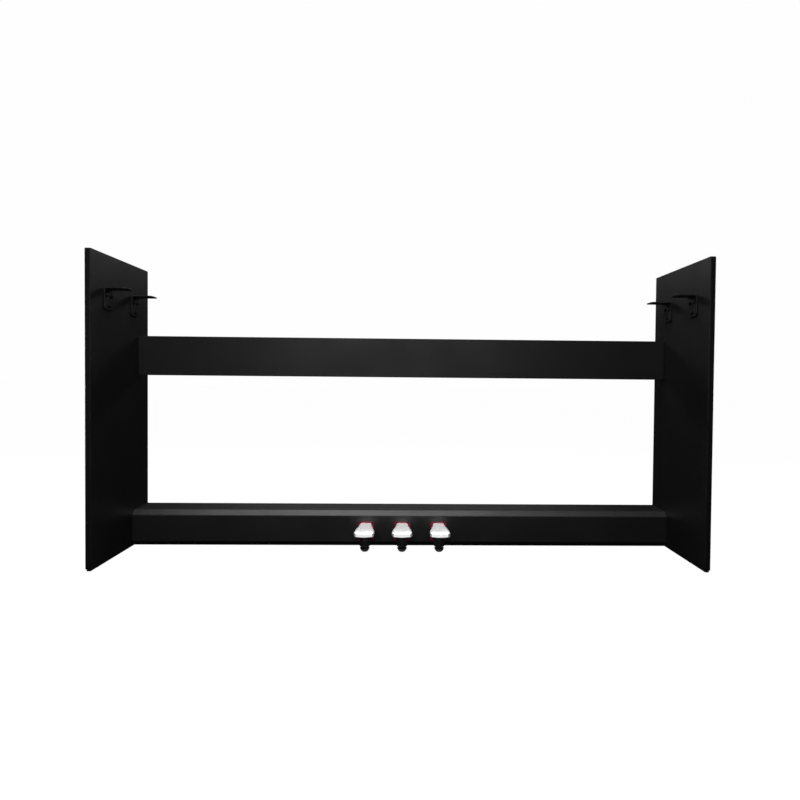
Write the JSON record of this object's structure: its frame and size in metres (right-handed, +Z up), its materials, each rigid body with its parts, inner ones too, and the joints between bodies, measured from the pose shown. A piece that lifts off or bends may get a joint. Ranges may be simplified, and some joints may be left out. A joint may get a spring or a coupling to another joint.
{
  "type": "digital piano stand with three pedals",
  "caption": "Flat-panel stand for a slab digital piano, with a rear rail, steel rest brackets and a bottom box that holds hinged chrome pedals in felt-lined slots.",
  "frame": {"origin": "on the floor, at the centre of the stand's footprint", "axes": "+X to the player's right, across the width; +Y away from the player, to the rear rail; +Z up"},
  "size_m": [1.38, 0.3, 0.705],
  "materials": {
    "laminate": "black foil laminate on board, satin, with a fine pebbled texture",
    "end_block": "bare particle board",
    "black_steel": "black powder coat, fine texture",
    "black_screw": "black zinc, satin",
    "bolt_steel": "zinc plated, dull",
    "bright_steel": "bright drawn steel",
    "black_plastic": "matte moulded",
    "rubber": "matte moulded rubber",
    "chrome": "bright chrome plate",
    "red_felt": "pressed wool felt, red",
    "circuit_board": "green solder mask"
  },
  "bodies": {
    "stand": {"left_side_panel": "laminate", "left_floor_strip": "black_plastic", "right_side_panel": "laminate", "right_floor_strip": "black_plastic", "left_front_bracket": "black_steel", "left_front_bracket_screw_upper_front": "black_screw", "left_front_bracket_screw_upper_rear": "black_screw", "left_front_bracket_screw_lower": "black_screw", "left_rear_bracket": "black_steel", "left_rear_bracket_screw_upper_front": "black_screw", "left_rear_bracket_screw_upper_rear": "black_screw", "left_rear_bracket_screw_lower": "black_screw", "right_front_bracket": "black_steel", "right_front_bracket_screw_upper_front": "black_screw", "right_front_bracket_screw_upper_rear": "black_screw", "right_front_bracket_screw_lower": "black_screw", "right_rear_bracket": "black_steel", "right_rear_bracket_screw_upper_front": "black_screw", "right_rear_bracket_screw_upper_rear": "black_screw", "right_rear_bracket_screw_lower": "black_screw", "rear_rail": "laminate", "pedal_box_front": "laminate", "pedal_box_top": "laminate", "pedal_box_base": "laminate", "pedal_box_rear": "laminate", "pedal_box_left_end": "end_block", "pedal_box_right_end": "end_block", "left_rail_bolt_lower": "bolt_steel", "left_rail_bolt_upper": "bolt_steel", "left_box_bolt_front": "bolt_steel", "left_box_bolt_rear": "bolt_steel", "right_rail_bolt_lower": "bolt_steel", "right_rail_bolt_upper": "bolt_steel", "right_box_bolt_front": "bolt_steel", "right_box_bolt_rear": "bolt_steel", "pedal_chassis": "black_steel", "pivot_shaft": "bright_steel", "left_shaft_clip": "bright_steel", "right_shaft_clip": "bright_steel", "pedal_circuit_board": "circuit_board", "cable_socket": "black_plastic", "left_return_spring": "bright_steel", "left_slot_felt": "red_felt", "left_pedal_sensor": "black_plastic", "centre_return_spring": "bright_steel", "centre_slot_felt": "red_felt", "centre_pedal_sensor": "black_plastic", "right_return_spring": "bright_steel", "right_slot_felt": "red_felt", "right_pedal_sensor": "black_plastic"},
    "left_pedal": {"left_pedal_toe": "chrome", "left_pedal_lever": "black_steel"},
    "left_foot": {"left_adjuster_foot": "rubber"},
    "centre_pedal": {"centre_pedal_toe": "chrome", "centre_pedal_lever": "black_steel"},
    "centre_foot": {"centre_adjuster_foot": "rubber"},
    "right_pedal": {"right_pedal_toe": "chrome", "right_pedal_lever": "black_steel"},
    "right_foot": {"right_adjuster_foot": "rubber"}
  },
  "joints": [
    {"name": "left_pedal_pivot", "type": "hinge", "parent": "stand", "child": "left_pedal", "pos_m": [-0.092, 0.114, 0.0495], "axis": [1, 0, 0], "range_deg": [0, 4], "stiffness_Nm_per_rad": 9.5, "springref_deg": -4.22, "deforming": ["left_return_spring"]},
    {"name": "centre_pedal_pivot", "type": "hinge", "parent": "stand", "child": "centre_pedal", "pos_m": [0, 0.114, 0.0495], "axis": [1, 0, 0], "range_deg": [0, 4], "stiffness_Nm_per_rad": 9.5, "springref_deg": -4.22, "deforming": ["centre_return_spring"]},
    {"name": "right_pedal_pivot", "type": "hinge", "parent": "stand", "child": "right_pedal", "pos_m": [0.092, 0.114, 0.0495], "axis": [1, 0, 0], "range_deg": [0, 4], "stiffness_Nm_per_rad": 9.5, "springref_deg": -4.22, "deforming": ["right_return_spring"]},
    {"name": "left_foot_screw", "type": "slide", "parent": "stand", "child": "left_foot", "axis": [0, 0, 1], "range_m": [0, 0.0042]},
    {"name": "centre_foot_screw", "type": "slide", "parent": "stand", "child": "centre_foot", "axis": [0, 0, 1], "range_m": [0, 0.0042]},
    {"name": "right_foot_screw", "type": "slide", "parent": "stand", "child": "right_foot", "axis": [0, 0, 1], "range_m": [0, 0.0042]}
  ]
}
